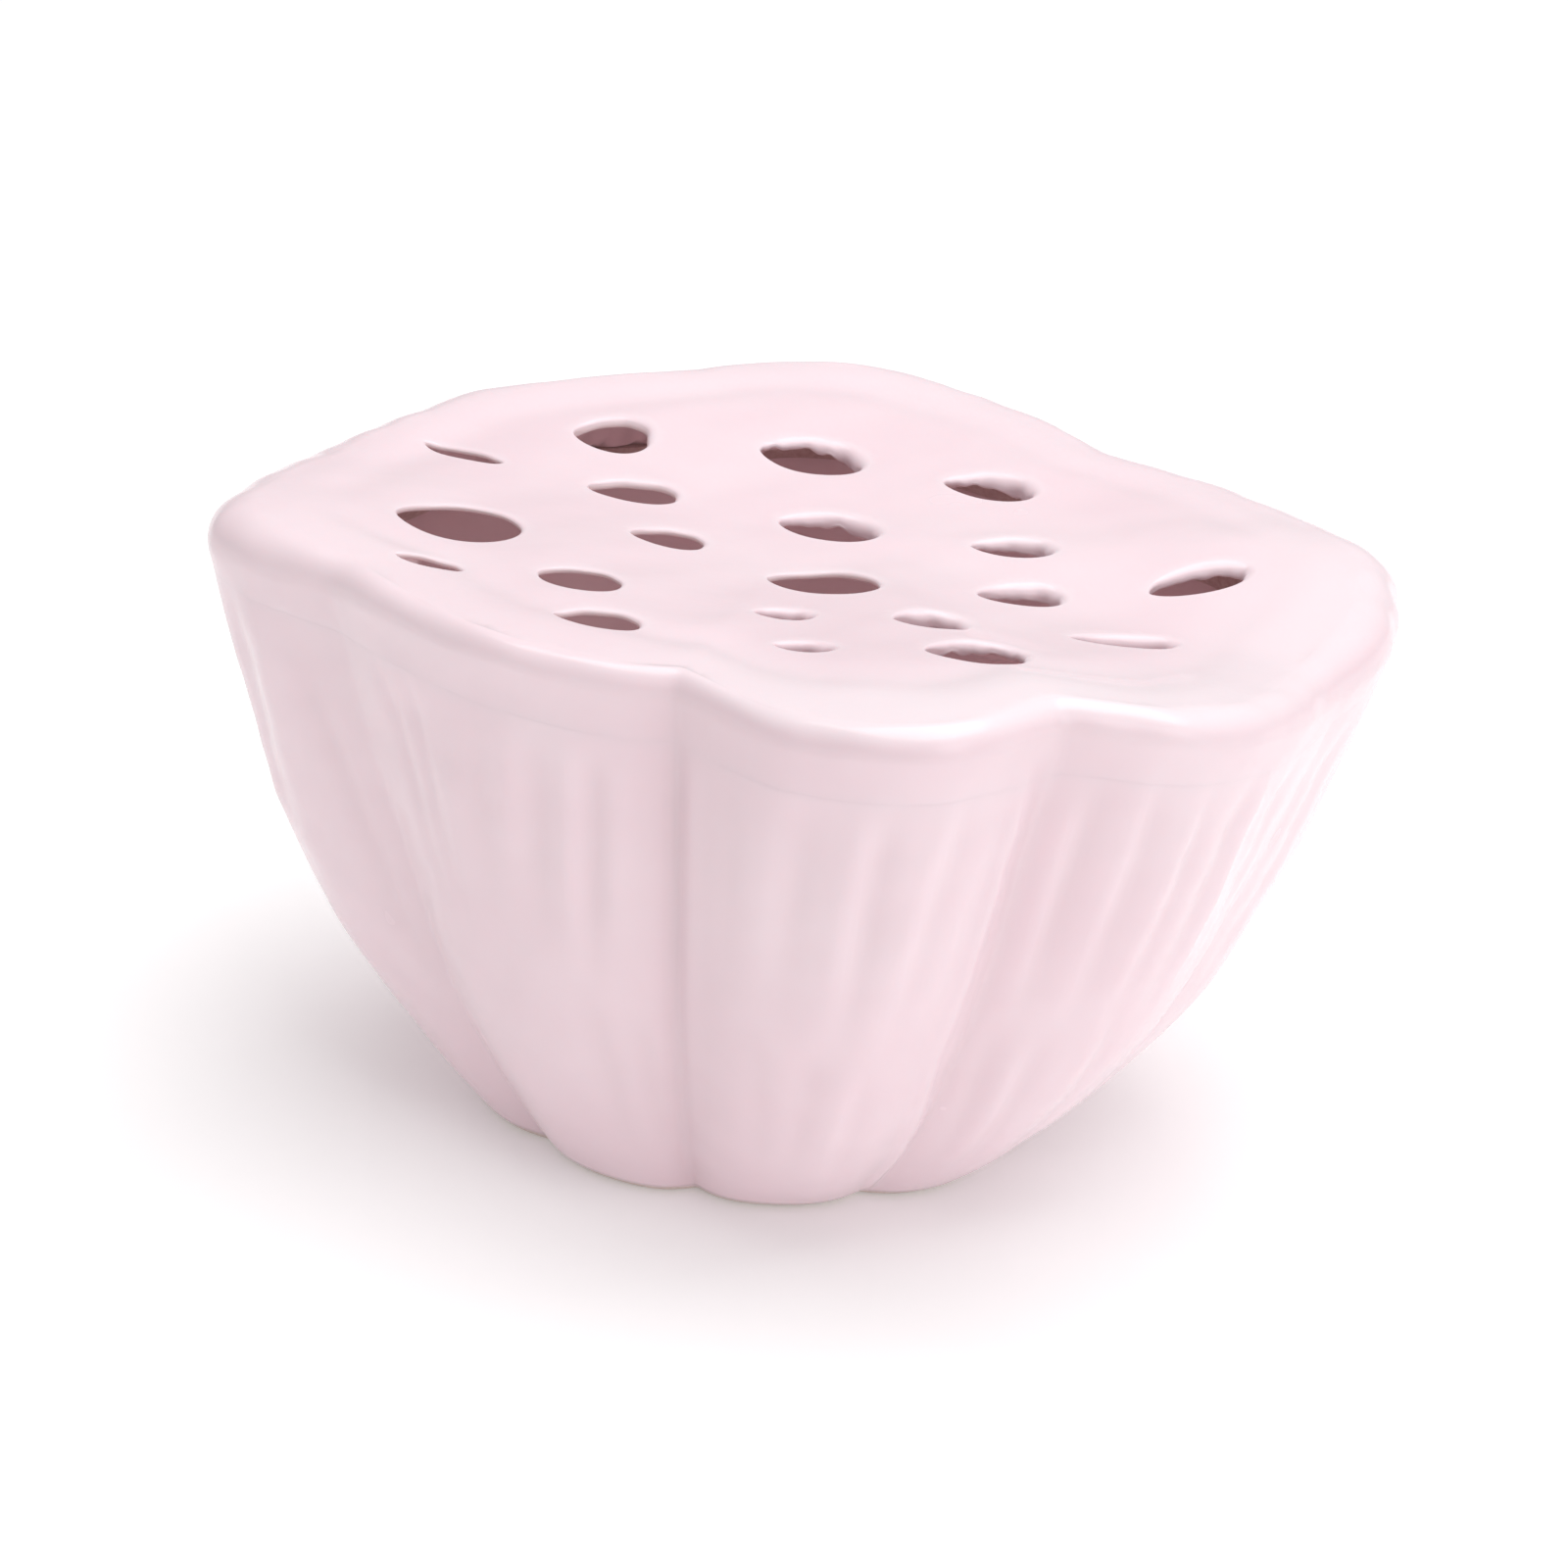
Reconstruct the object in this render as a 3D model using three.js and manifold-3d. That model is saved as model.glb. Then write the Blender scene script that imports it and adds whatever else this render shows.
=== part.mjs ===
// A ceramic flower frog in the shape of a lotus seed pod: a fluted cup on a small foot, closed by a
// pierced seed plate with a rolled rim. It stands in a bowl or holds its own water, and each hole in
// the plate grips one flower stem. It has three pieces: the cup, the plate, and the clay coil that
// backs the joint between them. Each piece is turned round, then bent into the lobed pod.
// Lengths are millimetres. Angles are degrees from +X towards +Y. +Z is up, and the foot stands at z = 0.

import * as THREE from "three";
import { mergeVertices } from "three/addons/utils/BufferGeometryUtils.js";
import Module from "manifold-3d";

const wasm = await Module();
wasm.setup();

// The round pod, before it is bent.
const RIM_RADIUS = 66;
const RIM_HEIGHT = 73;
const LIP_RADIUS = 6;
const LIP_HEIGHT = RIM_HEIGHT - LIP_RADIUS;
const FOOT_RADIUS = 35;
const FOOT_CHAMFER = 0.6;
const FOOT_RING = 6.5;
const FOOT_RECESS = 1.8;
const WALL = 4.5;
const FLOOR_TOP = 6.8;
const FLOOR_RADIUS = 27;
const COVE_HEIGHT = 3.2;
const PLATE = 3;
const DISH_DEPTH = 3.5;
const SEAT_SLOPE = 3;
const JOINT_HEIGHT = 64.3;
const JOINT_FILM = 0.3;
const COIL = 4.6;
const SEGMENTS = 84;

// The bent rim: angle, reach of the lip from the pod's axis, height of its crest.
const RIM = [
  [-170, 73, 74.5],
  [-150, 62.5, 74],
  [-125, 60.5, 74],
  [-102, 61, 73.5],
  [-90, 69, 74],
  [-79, 73.5, 75],
  [-65, 69.5, 74.5],
  [-50, 73.5, 72],
  [-30, 70.5, 69.5],
  [-3, 72, 72],
  [12, 65, 71],
  [40, 54, 71],
  [60, 55.5, 72],
  [84, 60.5, 73],
  [117, 56, 73.5],
  [140, 63.5, 72.5],
  [165, 66, 72.5],
];

// The foot: angle, radius. Its centre stands off the rim's axis, so the pod leans.
const FOOT = [
  [-180, 36.5],
  [-90, 36],
  [-45, 36.5],
  [0, 33],
  [90, 34],
];
const FOOT_OFFSET = new THREE.Vector2(-2.6, -7.5);

// The flutes pressed into the wall: angle at the rim, angle at the foot, depth at each, width.
const FLUTES = [
  [-104, -102, 3, 2.6, 5],
  [-65, -69, 2.2, 2.6, 6],
  [-27, -42, 0.6, 2, 6],
  [5, -8, 0.5, 1.4, 7],
  [40, 28, 1.5, 2.5, 8],
  [70, 62, 0.8, 2, 8],
  [108, 103, 1.2, 2.5, 7],
  [148, 138, 1.2, 2.5, 8],
  [178, 190, 1, 2, 8],
  [208, 223, 1, 2.6, 7],
];

// The stem holes: x and y of the centre, length along the slant, width, slant of the long way.
const HOLES = [
  [-44, 17.5, 10.5, 6.5, -25],
  [-25.5, 27.5, 9.5, 10, 0],
  [0, 25, 12.5, 10.5, -5],
  [22.5, 18.5, 11.5, 8, -15],
  [-22, 10.5, 10.5, 7.5, 0],
  [-17, -5.5, 9, 7, 0],
  [-42, -9.5, 15, 12.5, -5],
  [2.5, 3, 12, 9, -15],
  [25, -1.5, 10, 7, 0],
  [-44, -26, 8, 6.5, -15],
  [-26.5, -26.5, 9.5, 8, -15],
  [2, -17, 13, 9, -10],
  [25.5, -16, 10.5, 7, 15],
  [47, -10.5, 12.5, 7, 25],
  [-23.5, -40, 9.5, 6.5, -5],
  [-2.5, -31, 7, 6.5, 0],
  [14.5, -31, 9, 8, 10],
  [0, -44, 7, 6.5, -10],
  [19.5, -43.5, 11, 8.5, 10],
  [37, -29.5, 12, 6.5, 10],
];
const HOLE_SEGMENTS = 18;
const HOLE_MOUTH = 1.22;
const MOUTH_DEPTH = 1.5;
const CUTTER_OVERRUN = 3;

// A value on a smooth closed curve through points of [angle, value, ...], listed in order of angle.
function around(points, angle, column = 1) {
  const count = points.length;
  const start = points[0][0];
  const turned = THREE.MathUtils.euclideanModulo(angle - start, 360) + start;
  const last = points.findLastIndex((point) => point[0] <= turned);
  const knot = (index) => {
    const laps = Math.floor(index / count);
    const point = points[index - laps * count];
    return new THREE.Vector2(point[0] + 360 * laps, point[column]);
  };
  const [before, from, to, after] = [-1, 0, 1, 2].map((step) => knot(last + step));
  const span = to.x - from.x;
  const share = (turned - from.x) / span;
  const slopeFrom = (span * (to.y - before.y)) / (to.x - before.x);
  const slopeTo = (span * (after.y - from.y)) / (after.x - from.x);
  const bend = share * share * (3 - 2 * share);
  const pull = share * (1 - share);
  return from.y + (to.y - from.y) * bend + pull * ((1 - share) * slopeFrom - share * slopeTo);
}

// How far the wall has flared from foot (0) to lip (1), at a share of its height.
function flare(share) {
  return 0.5 * share + 0.5 * (1 - (1 - share) ** 4);
}

function roundRadius(z) {
  return THREE.MathUtils.lerp(FOOT_RADIUS, RIM_RADIUS, flare(Math.min(z / LIP_HEIGHT, 1)));
}

// How far the flutes press the wall in.
function fluteDepth(angle, share) {
  let depth = 0;
  for (const [rimAngle, footAngle, rimDepth, footDepth, width] of FLUTES) {
    const middle = THREE.MathUtils.lerp(footAngle, rimAngle, share ** 0.7);
    const away = THREE.MathUtils.euclideanModulo(angle - middle + 180, 360) - 180;
    const deep = THREE.MathUtils.lerp(footDepth, rimDepth, share ** 1.5);
    depth += deep * Math.exp(-(Math.abs(away / width) ** 1.3));
  }
  return depth;
}

// Moves one point of the round pod to its place on the bent pod.
function bend(point) {
  const share = THREE.MathUtils.clamp(point.z / LIP_HEIGHT, 0, 1);
  const angle = THREE.MathUtils.radToDeg(Math.atan2(point.y, point.x));
  const reach = THREE.MathUtils.lerp(around(FOOT, angle), around(RIM, angle), flare(share));
  const stretch = (reach - fluteDepth(angle, share)) / roundRadius(point.z);
  const outward = THREE.MathUtils.smoothstep(Math.hypot(point.x, point.y), 0, RIM_RADIUS);
  const lift = THREE.MathUtils.lerp(1, around(RIM, angle, 2) / RIM_HEIGHT, outward);
  const lean = 1 - flare(share);
  point.x = point.x * stretch + FOOT_OFFSET.x * lean;
  point.y = point.y * stretch + FOOT_OFFSET.y * lean;
  point.z *= lift;
  return point;
}

// A piece turned about the Z axis from [radius, height] points.
function turned(profile, segments) {
  const points = profile.map(([radius, height]) => new THREE.Vector2(radius, height));
  return new THREE.LatheGeometry(points, segments).rotateX(Math.PI / 2);
}

function bent(geometry) {
  const position = geometry.getAttribute("position");
  const point = new THREE.Vector3();
  for (let i = 0; i < position.count; i++) {
    bend(point.fromBufferAttribute(position, i));
    position.setXYZ(i, point.x, point.y, point.z);
  }
  return geometry;
}

function solidOf(geometry) {
  const bare = geometry.clone();
  bare.deleteAttribute("normal");
  bare.deleteAttribute("uv");
  const merged = mergeVertices(bare, 1e-3);
  const vertProperties = merged.getAttribute("position").array;
  const triVerts = new Uint32Array(merged.index.array);
  return new wasm.Manifold(new wasm.Mesh({ numProp: 3, vertProperties, triVerts }));
}

function geometryOf(solid) {
  const mesh = solid.getMesh();
  const geometry = new THREE.BufferGeometry();
  geometry.setAttribute("position", new THREE.BufferAttribute(mesh.vertProperties, 3));
  geometry.setIndex(new THREE.BufferAttribute(mesh.triVerts, 1));
  geometry.computeVertexNormals();
  return geometry;
}

function dishHeight(radius) {
  const crest = RIM_RADIUS - LIP_RADIUS;
  return RIM_HEIGHT - DISH_DEPTH * (1 - (radius / crest) ** 2);
}

// Evenly spaced values from one number to another, both included.
function steps(from, to, count) {
  return Array.from({ length: count + 1 }, (_, step) => THREE.MathUtils.lerp(from, to, step / count));
}

// Heights up the wall, closer together near the foot, where the wall curves most.
function wallHeights(low, high, count) {
  return steps(0, 1, count).map((share) => THREE.MathUtils.lerp(low, high, share ** 1.4));
}

// The cup: foot ring, fluted wall, the face the plate is luted to, the inside wall, and a cove down
// to the floor.
function cupGeometry() {
  const profile = [
    [0, FOOT_RECESS],
    [FOOT_RADIUS - FOOT_RING - FOOT_RECESS, FOOT_RECESS],
    [FOOT_RADIUS - FOOT_RING, 0],
    [FOOT_RADIUS - FOOT_CHAMFER, 0],
  ];
  for (const z of wallHeights(FOOT_CHAMFER, JOINT_HEIGHT, 12)) {
    profile.push([roundRadius(z), z]);
  }
  const coveTop = FLOOR_TOP + COVE_HEIGHT;
  for (const z of wallHeights(coveTop, JOINT_HEIGHT, 6).reverse()) {
    profile.push([roundRadius(z) - WALL, z]);
  }
  const coveWidth = roundRadius(coveTop) - WALL - FLOOR_RADIUS;
  for (const turn of steps(60, 0, 2).map(THREE.MathUtils.degToRad)) {
    profile.push([FLOOR_RADIUS + coveWidth * Math.sin(turn), coveTop - COVE_HEIGHT * Math.cos(turn)]);
  }
  profile.push([0, FLOOR_TOP]);
  return bent(turned(profile, SEGMENTS));
}

// The cutter for one stem hole: an oval bore that widens into a mouth at the plate's top.
function holeCutter([x, y, length, width, slant]) {
  const top = dishHeight(Math.hypot(x, y));
  const lowest = JOINT_HEIGHT - COIL - CUTTER_OVERRUN;
  const highest = RIM_HEIGHT + CUTTER_OVERRUN;
  const profile = [
    [0, lowest],
    [1, lowest],
    [1, top - MOUTH_DEPTH],
    [HOLE_MOUTH, top],
    [HOLE_MOUTH, highest],
    [0, highest],
  ];
  const cutter = turned(profile, HOLE_SEGMENTS).scale(length / 2, width / 2, 1);
  return cutter.rotateZ(THREE.MathUtils.degToRad(slant)).translate(x, y, 0);
}

// The seed plate: a shallow dish with a rolled rim, thick where it sits on the wall.
function plateGeometry() {
  const crest = RIM_RADIUS - LIP_RADIUS;
  const seat = JOINT_HEIGHT + JOINT_FILM;
  const inside = roundRadius(JOINT_HEIGHT) - WALL - COIL;
  const profile = [];
  for (const radius of steps(0, inside - SEAT_SLOPE, 4)) {
    profile.push([radius, dishHeight(radius) - PLATE]);
  }
  profile.push([inside, seat]);
  const lipStart = Math.asin((seat - LIP_HEIGHT) / LIP_RADIUS);
  for (const turn of steps(lipStart, Math.PI / 2, 7)) {
    profile.push([crest + LIP_RADIUS * Math.cos(turn), LIP_HEIGHT + LIP_RADIUS * Math.sin(turn)]);
  }
  for (const radius of steps(crest, 0, 6).slice(1)) {
    profile.push([radius, dishHeight(radius)]);
  }
  let plate = solidOf(bent(turned(profile, SEGMENTS)));
  for (const hole of HOLES) plate = plate.subtract(solidOf(holeCutter(hole)));
  return geometryOf(plate);
}

// The luting coil: clay pressed into the corner under the plate, cut back where a hole passes it.
function coilGeometry() {
  const corner = roundRadius(JOINT_HEIGHT) - WALL - JOINT_FILM;
  const wallSlope = (roundRadius(JOINT_HEIGHT) - roundRadius(JOINT_HEIGHT - COIL)) / COIL;
  const profile = [
    [corner - COIL * wallSlope, JOINT_HEIGHT - COIL],
    [corner, JOINT_HEIGHT],
  ];
  for (const turn of steps(0, Math.PI / 2, 4)) {
    const depth = COIL * Math.sin(turn);
    profile.push([corner - COIL * Math.cos(turn) - depth * wallSlope, JOINT_HEIGHT - depth]);
  }
  let coil = solidOf(bent(turned(profile, SEGMENTS)));
  for (const hole of HOLES) coil = coil.subtract(solidOf(holeCutter(hole)));
  return geometryOf(coil);
}

const glaze = new THREE.MeshStandardMaterial({ color: 0xf5e0e5, roughness: 0.18, metalness: 0 });
const bareClay = new THREE.MeshStandardMaterial({ color: 0xe6d3cf, roughness: 0.75, metalness: 0 });

const pod = new THREE.Group();
const pieces = [
  ["pod_cup", cupGeometry(), glaze],
  ["seed_plate", plateGeometry(), glaze],
  ["luting_coil", coilGeometry(), bareClay],
];
for (const [name, geometry, material] of pieces) {
  const mesh = new THREE.Mesh(geometry, material);
  mesh.name = name;
  pod.add(mesh);
}

// The part's origin is on the ground, under the middle of the pod's box.
const middle = new THREE.Box3().setFromObject(pod).getCenter(new THREE.Vector3());
pod.position.set(-middle.x, -middle.y, 0);

const flowerFrog = new THREE.Group();
flowerFrog.add(pod);

export default flowerFrog;
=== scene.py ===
"""A ceramic flower frog in the shape of a lotus seed pod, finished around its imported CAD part.

Values are in millimetres and degrees, with angles from +X towards +Y, unless a comment says otherwise.
Those of the pod, its rim, foot and flutes and the places of its stem holes are the part's own driving
dimensions. The sizes of the holes are not. They are those of the mouths as they look, and the bores of the
five narrowest holes come out narrower than the part's. The meshes are made in metres.
"""

import math

import bpy
import numpy as np
from mathutils import Matrix, Vector
from mathutils.geometry import delaunay_2d_cdt


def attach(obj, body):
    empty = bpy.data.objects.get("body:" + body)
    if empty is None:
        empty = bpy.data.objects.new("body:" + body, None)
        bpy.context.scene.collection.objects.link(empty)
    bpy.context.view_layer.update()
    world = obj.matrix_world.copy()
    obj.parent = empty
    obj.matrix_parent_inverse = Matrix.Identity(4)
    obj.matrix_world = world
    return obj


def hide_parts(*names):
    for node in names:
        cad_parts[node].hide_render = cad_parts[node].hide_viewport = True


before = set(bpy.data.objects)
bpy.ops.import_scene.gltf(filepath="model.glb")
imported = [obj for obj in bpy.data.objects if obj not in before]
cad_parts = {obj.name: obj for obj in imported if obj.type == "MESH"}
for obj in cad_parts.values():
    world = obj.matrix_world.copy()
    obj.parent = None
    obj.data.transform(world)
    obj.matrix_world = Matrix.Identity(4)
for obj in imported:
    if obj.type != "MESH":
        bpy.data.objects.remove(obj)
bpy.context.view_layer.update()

MM = 0.001

# The round pod, before it is bent.
RIM_RADIUS = 66
RIM_HEIGHT = 73
LIP_RADIUS = 6
LIP_HEIGHT = RIM_HEIGHT - LIP_RADIUS
FOOT_RADIUS = 35
FOOT_RING = 6.5
FOOT_RECESS = 1.8
WALL = 4.5
FLOOR_TOP = 6.8
FLOOR_RADIUS = 27
COVE_HEIGHT = 3.2
PLATE = 3
DISH_DEPTH = 3.5
DISH_EDGE = RIM_RADIUS - LIP_RADIUS
SEAT_SLOPE = 3
COIL = 4.6
COIL_TOP = 64.3
JOINT_FILM = 0.3

# The visible joint runs through the middle of the film of slip.
JOINT_HEIGHT = COIL_TOP + JOINT_FILM / 2

# How far the wall's pleats and its unevenness run: the heights between which each fades in and fades out.
PLEATS_START = (0.5, 3)
PLEATS_END = (57, 69)
UNEVEN_START = (1, 8)
UNEVEN_END = (58, 67)

# The unevenness of hand-pressed clay, in layers of height, wavelength and seed.
WALL_LUMPS = [(0.25, 22, 1), (0.07, 8, 2)]
TOP_LUMPS = [(0.28, 34, 3), (0.06, 12, 4)]
RIM_LUMPS = [(0.24, 18, 5), (0.08, 7, 7)]
COIL_LUMPS = [(0.06, 9, 6)]

# A shallow groove runs round the plate inside the rim.
GROOVE_RADIUS = 52
GROOVE_WIDTH = 4
GROOVE_DEPTH = 0.4

# The bent rim: angle, reach of the lip from the pod's axis, height of its crest.
RIM = [
    (-170, 73, 74.5),
    (-150, 62.5, 74),
    (-125, 60.5, 74),
    (-102, 61, 73.5),
    (-90, 69, 74),
    (-79, 73.5, 75),
    (-65, 69.5, 74.5),
    (-50, 73.5, 72),
    (-30, 70.5, 69.5),
    (-3, 72, 72),
    (12, 65, 71),
    (40, 54, 71),
    (60, 55.5, 72),
    (84, 60.5, 73),
    (117, 56, 73.5),
    (140, 63.5, 72.5),
    (165, 66, 72.5),
]

# The foot: angle, radius. Its centre stands off the rim's axis, so the pod leans.
FOOT = [(-180, 36.5), (-90, 36), (-45, 36.5), (0, 33), (90, 34)]
FOOT_OFFSET = (-2.6, -7.5)

# The flutes pressed into the wall: angle at the rim, angle at the foot, depth at each, width.
FLUTES = [
    (-104, -102, 3, 2.6, 5),
    (-65, -69, 2.2, 2.6, 6),
    (-27, -42, 0.6, 2, 6),
    (5, -8, 0.5, 1.4, 7),
    (40, 28, 1.5, 2.5, 8),
    (70, 62, 0.8, 2, 8),
    (108, 103, 1.2, 2.5, 7),
    (148, 138, 1.2, 2.5, 8),
    (178, 190, 1, 2, 8),
    (208, 223, 1, 2.6, 7),
]

# The pleats of the front wall: angle at the top end and the foot end, height share of each end, depth (less
# than nothing for a ridge), width.
FRONT_PLEATS = [
    (-158, -148, 0.95, 0.25, 0.45, 1.8),
    (-145, -136, 1, 0.45, 0.35, 1.4),
    (-140, -133, 1, 0.45, 0.3, 1.4),
    (-128, -129, 1, 0.45, 0.35, 2.2),
    (-124, -125, 1, 0.5, -0.3, 1.8),
    (-120, -121, 1, 0.45, 0.4, 1.8),
    (-116.5, -117, 1, 0.4, -0.45, 1.6),
    (-113, -114, 1, 0.4, 0.6, 1.5),
    (-109.5, -111, 1, 0.5, -0.25, 1.6),
    (-116, -111, 0.5, 0.03, 0.4, 2.4),
    (-109, -106, 0.45, 0.03, 0.35, 2),
    (-104, -104, 1.3, -0.3, 0.55, 1.4),
    (-101.5, -101.5, 1.2, -0.1, -0.4, 1.5),
    (-96, -97, 1, 0.5, 0.3, 1.6),
    (-93, -93.5, 1, 0.5, -0.2, 1.6),
    (-89, -90, 1.05, 0.4, 0.45, 1.8),
    (-84.5, -86, 1, 0.4, -0.45, 1.7),
    (-81.5, -83.5, 1.05, 0.35, 0.6, 1.5),
    (-76, -81, 1.1, 0.35, -0.45, 1.4),
    (-73.5, -79, 1.1, 0.4, 0.4, 1.3),
    (-71.5, -76.5, 0.95, 0.4, -0.3, 1.2),
    (-68, -72.5, 1.2, 0.2, -1.1, 1.2),
    (-73, -66, 0.5, -0.3, -1, 1.3),
    (-65.5, -69, 1.2, -0.2, 0.45, 1.2),
    (-92.5, -90, 0.5, 0.04, 0.4, 2),
    (-85.5, -86.5, 0.5, 0.04, 0.4, 2),
    (-80, -79.5, 0.45, 0.04, 0.4, 1.8),
    (-82, -82, 0.45, 0.04, -0.3, 1.6),
    (-63, -64, 1, 0.35, -0.5, 1.2),
    (-60.5, -62.5, 1.05, 0.4, 0.55, 1.3),
    (-57, -59, 1.1, 0.35, -0.55, 1.2),
    (-55, -57, 1.1, 0.4, 0.5, 1.4),
    (-51.5, -54.5, 1, 0.35, -0.45, 1.2),
    (-49.5, -52.5, 1.1, 0.35, 0.5, 1.3),
    (-42, -46, 1.05, 0.35, -0.45, 1.3),
    (-44.5, -48.5, 1.05, 0.35, 0.5, 1.5),
    (-35, -40, 1.05, 0.35, 0.4, 1.7),
    (-64, -62.5, 0.5, 0.05, 0.4, 1.5),
    (-61, -60, 0.45, 0.05, -0.35, 1.4),
    (-59, -57.5, 0.5, 0.03, 0.4, 1.5),
    (-53, -53.5, 0.5, 0.05, -0.35, 1.6),
    (-51, -50, 0.55, 0.05, 0.4, 1.6),
    (-20, -31, 1, 0.2, 0.4, 2.4),
    (-11, -21, 1, 0.3, 0.3, 2.6),
]

# The back wall's pleats are random, between two angles. Each has a ridge beside it.
BACK_PLEATS = 38
BACK_ANGLES = (1, 196)
BACK_SEED = 4
RIDGE_OFFSET = 1.8
RIDGE_SHARE = 0.7

# The stem holes: x and y of the centre, length along the slant, width, slant of the long way, depth of the
# clay wall round the bore, how much deeper it is at the right end, how ragged its lower edge is, and how far
# the mouth is worn open on its far side. Length and width are those of the whole mouth.
HOLES = [
    (-44, 17.5, 12, 4.5, -25, 0.8, 0, 0, 0.9),
    (-25.5, 27.5, 11, 11.5, 0, 1.3, 0, 0, 1.6),
    (0, 25, 14.5, 12, -5, 1.6, 0.8, 0.6, 1.8),
    (22.5, 18.5, 13, 9, -15, 2, 1.1, 0.5, 1.8),
    (-22, 10.5, 12.5, 8.5, 0, 1.1, 0, 0, 1.3),
    (-17, -5.5, 10, 8.5, 0, 0.9, 0, 0, 1.1),
    (-42, -9.5, 16, 14.5, -5, 0.8, 0, 0, 0.9),
    (2.5, 3, 14, 10, -15, 1.9, 0.6, 0.6, 1.7),
    (25, -1.5, 11.5, 7.5, 0, 1.8, 0.6, 0.3, 1.7),
    (-44, -26, 9, 5, -15, 0.8, 0, 0, 0.9),
    (-26.5, -26.5, 11, 9.5, -15, 0.8, 0, 0, 0.9),
    (2, -17, 14.5, 10.5, -10, 0.9, 0, 0, 1),
    (25.5, -16, 12, 8, 15, 1.8, 0.4, 0.3, 1.7),
    (47, -10.5, 14.5, 8, 25, 1.5, 0.3, 0.4, 1.9),
    (-23.5, -40, 11, 7.5, -5, 0.9, 0, 0, 1.1),
    (-2.5, -31, 8, 5.5, 0, 1.9, 0, 0.2, 1.3),
    (14.5, -31, 10, 9, 10, 2.3, 0, 0.3, 1.7),
    (0, -44, 8, 5, -10, 1.8, 0, 0.2, 1.3),
    (19.5, -43.5, 13, 10, 10, 1.6, -0.2, 0.65, 1.5),
    (37, -29.5, 14, 6.5, 10, 2.4, 0, 0.3, 1.7),
]

# How far a mouth is worn open on its near side, and the direction of its far side.
NEAR_MOUTH = 0.35
FAR_MOUTH_ANGLE = 60

# How much a hole narrows towards its left end.
HOLE_POINT = 0.14

# A bore: the round of its lower edge, the least height of its straight part, and how far its outlet in the
# underside spreads.
EDGE_ROUND = 0.3
BORE = 0.15
OUTLET = 0.9

# How fast the plate thickens away from a hole, in millimetres for each millimetre.
THINNING = 0.4

# A hole's handmade unevenness: shares of its edge, its depth and its mouth's wear, and the share of its
# raggedness that shows in plan. The mouth's roll is a little less deep than it is wide.
EDGE_WOBBLE = 0.02
DEPTH_WOBBLE = 0.06
MOUTH_WOBBLE = 0.2
CHIPS_IN_PLAN = 0.3
MOUTH_ROLL = 0.9

# The roll of the rim: angle and radius.
ROLL = [(-180, 6), (-155, 3.8), (-130, 2.6), (-100, 2.8), (-50, 3.4), (-25, 4.5), (0, 6), (60, 6), (130, 6)]

# How thin the glaze has run off the rim, which paints it paler, partly as a highlight, most at the front:
# angle and share.
RIM_GLAZE_AND_HIGHLIGHT = [(-180, 0.1), (-120, 0.2), (-85, 0.9), (-40, 0.8), (20, 0.4), (100, 0.3)]

# The coil is pressed towards an anchor, a little in from its corner: by a share of the way everywhere, and
# then in steps wherever it is nearer to a stem hole than the gap.
COIL_ANCHOR = 0.5
COIL_PRESS = 0.08
COIL_GAP = 0.4
COIL_STEPS = 12
COIL_STEP = 0.15

# Mesh density.
COLUMNS = 560
HOLE_COLUMNS = 64
TOP_SPACING = 1.0
UNDER_SPACING = 1.6

# Edges sharper than this stay crisp in the shading.
SHARP_ANGLE = 50

# The pool attribute says how deep the glaze lies: -1 is thin and paler on an edge, partly a painted
# highlight, 0 plain, 1 deep and darker in a groove, partly painted shade, and this value marks the surfaces
# inside the pod, whose glaze is painted paler and given a painted glow.
INSIDE = 2
# Deep glaze in pleats and flutes, darker partly as painted shade.
POOL_AND_SHADE_IN_PLEATS = 0.5
POOL_AND_SHADE_IN_FLUTES = 0.13
# Thin glaze on the mouths, paler partly as a painted highlight.
POOL_AND_HIGHLIGHT_ON_MOUTHS = -0.3
# Deep glaze in ragged bores, darker partly as painted shade.
POOL_AND_SHADE_IN_RAGGED_BORES = 0.3

# Glaze: colours of the tint's two ends and where they stop, then of thin glaze, partly a painted highlight,
# thick glaze, partly painted shade, and inside glaze, painted paler, and the colour and strength of its
# painted glow.
GLAZE_TINTS = [(0.35, (0.915, 0.717, 0.771, 1)), (0.68, (0.94, 0.765, 0.813, 1))]
THIN_GLAZE_AND_HIGHLIGHT = (0.95, 0.82, 0.86, 1)
THICK_GLAZE_AND_SHADE = (0.79, 0.62, 0.66, 1)
INSIDE_GLAZE_PAINTED_PALER = (0.96, 0.78, 0.80, 1)
PAINTED_GLOW_COLOUR = (0.9, 0.6, 0.65, 1)
PAINTED_GLOW = 0.035

# Bare clay, on the foot and on the coil, as the two ends of a tint.
FOOT_CLAY = [(0, (0.62, 0.49, 0.44, 1)), (1, (0.80, 0.70, 0.65, 1))]
COIL_CLAY = [(0.3, (0.60, 0.46, 0.42, 1)), (0.7, (0.82, 0.70, 0.66, 1))]

# The glaze line on the foot: the heights in metres between which the glaze begins, and how ragged it is.
GLAZE_LINE = (0.0002, 0.0005)
GLAZE_LINE_RAGGED = 0.0008

# Camera.
CAMERA_ELEVATION = 24
CAMERA_ROLL = 3
CAMERA_DISTANCE = 540
CAMERA_TARGET = (-1.5, 1.5, 38)
CAMERA_LENS = 100
CAMERA_SENSOR = 36

# Lights: name, place in metres, size in metres, watts. They aim at the middle of the pod.
LIGHTS = [
    ("side", (0.9, -1.0, 0.6), 0.9, 3.6),
    ("top", (0.15, 0.1, 1.1), 1.1, 10.4),
]
LIGHT_AIM = (0, 0, 0.04)
WORLD_COLOUR = (1, 0.995, 0.995, 1)
WORLD_STRENGTH = 0.41


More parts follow.
